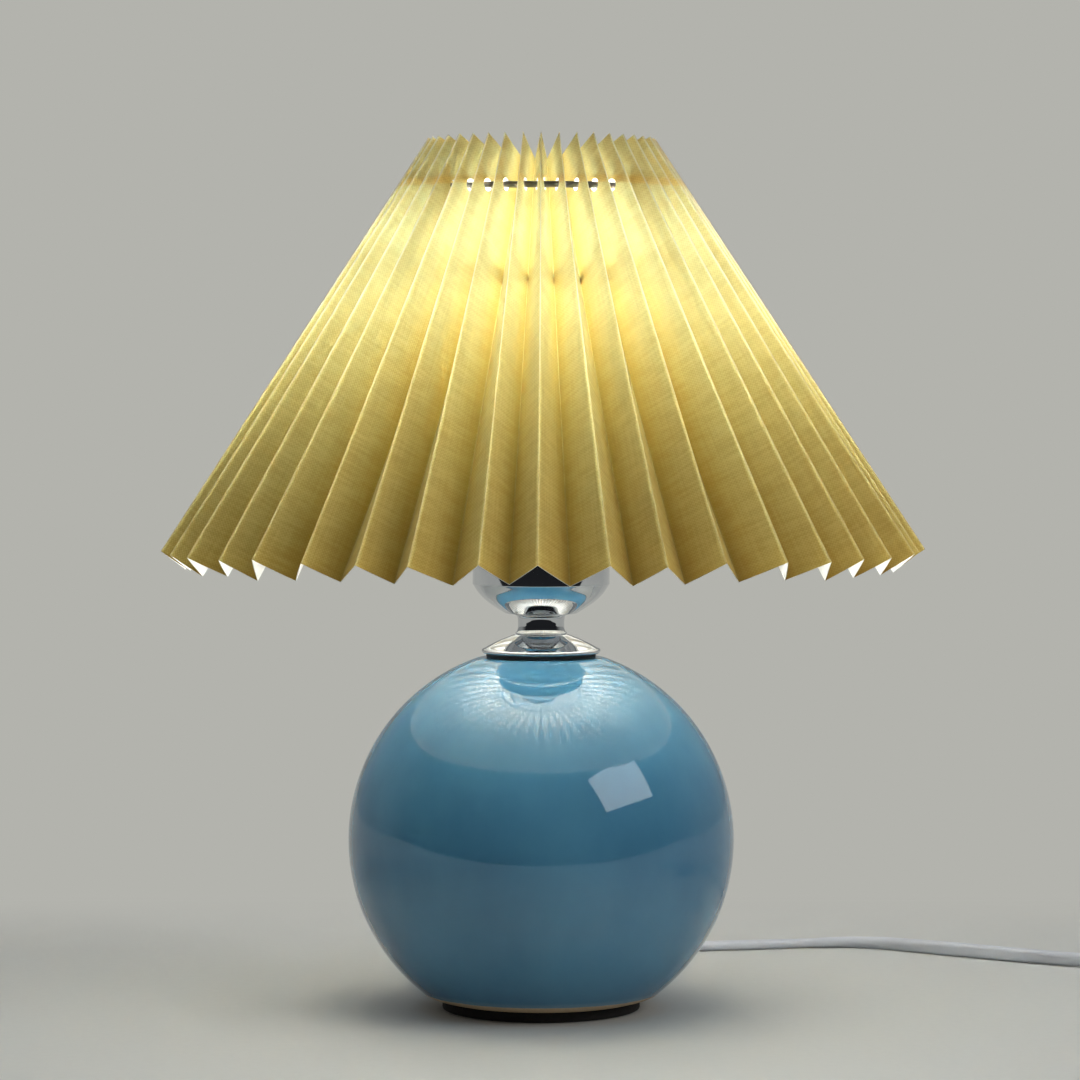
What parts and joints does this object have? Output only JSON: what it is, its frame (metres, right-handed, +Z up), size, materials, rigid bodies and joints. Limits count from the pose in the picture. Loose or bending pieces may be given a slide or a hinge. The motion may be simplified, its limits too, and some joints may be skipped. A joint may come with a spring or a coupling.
{
  "type": "table lamp",
  "caption": "Small table lamp with a glazed ceramic ball base, chrome column, pleated linen cone shade on a wire frame, screw-in bulb and a corded rocker switch.",
  "frame": {"origin": "centre of the foot pad's underside, on the lamp's vertical axis", "axes": "+Z up the lamp's axis, -Y towards the front of the picture, the cord leaves towards +Y"},
  "size_m": [0.482, 0.2916, 0.315],
  "materials": {
    "glaze": "glossy sky-blue glaze, unglazed beige foot rim",
    "pad": "matt black foam",
    "gasket": "matt black",
    "chrome": "bright chrome plating",
    "steel": "zinc-plated steel",
    "holder": "black moulded plastic",
    "core": "white porcelain",
    "brass": "plain brass",
    "linen": "mustard linen on a white backing",
    "wire": "dark grey coated wire",
    "opal": "opal glass",
    "clear_glass": "clear glass",
    "filament": "yellow coated light sticks",
    "alu": "plain aluminium",
    "black_glass": "black insulator",
    "cord": "white flexible sheath",
    "live": "brown sheath",
    "neutral": "blue sheath",
    "white": "white moulded plastic",
    "tie": "grey strap",
    "nickel": "nickel-plated brass"
  },
  "bodies": {
    "base": {"foot_pad": "pad", "ceramic_ball": "glaze", "cap_gasket": "gasket", "vase_cap": "chrome", "neck_spacer": "chrome", "socket_cup": "chrome", "threaded_tube": "steel", "inner_washer": "steel", "lock_washer": "steel", "clamp_nut": "steel", "holder_base": "holder", "holder_sleeve": "holder", "holder_core": "core", "screw_shell": "brass", "centre_contact": "brass", "terminal_blocks": "brass", "terminal_screws": "steel", "grip_ring": "holder", "cord_bushing": "cord", "inner_cord": "cord", "live_wire": "live", "neutral_wire": "neutral", "cord_lead": "cord", "cord_link": "cord", "cord_coil": "cord", "cord_tail": "cord", "cord_tie": "tie", "switch_lower_case": "white", "switch_upper_case": "white", "switch_sleeves": "cord", "switch_screws": "steel", "switch_terminals": "brass", "switch_spring": "brass", "switch_pivot": "steel", "plug_body": "white", "plug_sleeve": "cord", "plug_pins": "nickel"},
    "shade": {"pleated_shade": "linen", "frame_top_ring": "wire", "frame_support_ring": "wire", "frame_arms": "wire", "frame_washer": "wire"},
    "bulb_tip": {"bulb_tip": "nickel"},
    "bulb": {"bulb_globe": "opal", "bulb_stem": "clear_glass", "bulb_filaments": "filament", "bulb_screw_cap": "alu", "bulb_insulator": "black_glass"},
    "rocker": {"switch_rocker": "white"}
  },
  "joints": [
    {"name": "shade_swivel", "type": "hinge", "parent": "base", "child": "shade", "pos_m": [0, 0, 0.179], "axis": [0, 0, 1], "continuous": true},
    {"name": "bulb_lift", "type": "slide", "parent": "base", "child": "bulb_tip", "axis": [0, 0, 1], "range_m": [0, 0.02]},
    {"name": "bulb_turn", "type": "hinge", "parent": "bulb_tip", "child": "bulb", "pos_m": [0, 0, 0.18], "axis": [0, 0, 1], "range_deg": [0, 1980]},
    {"name": "switch_rock", "type": "hinge", "parent": "base", "child": "rocker", "pos_m": [0.277, 0.056, 0.0138], "axis": [0.5299, 0.848, 0], "range_deg": [0, 16]}
  ],
  "couplings": [
    {"joint": "bulb_lift", "follows": "bulb_turn", "m_per_rad": 0.00057757}
  ]
}
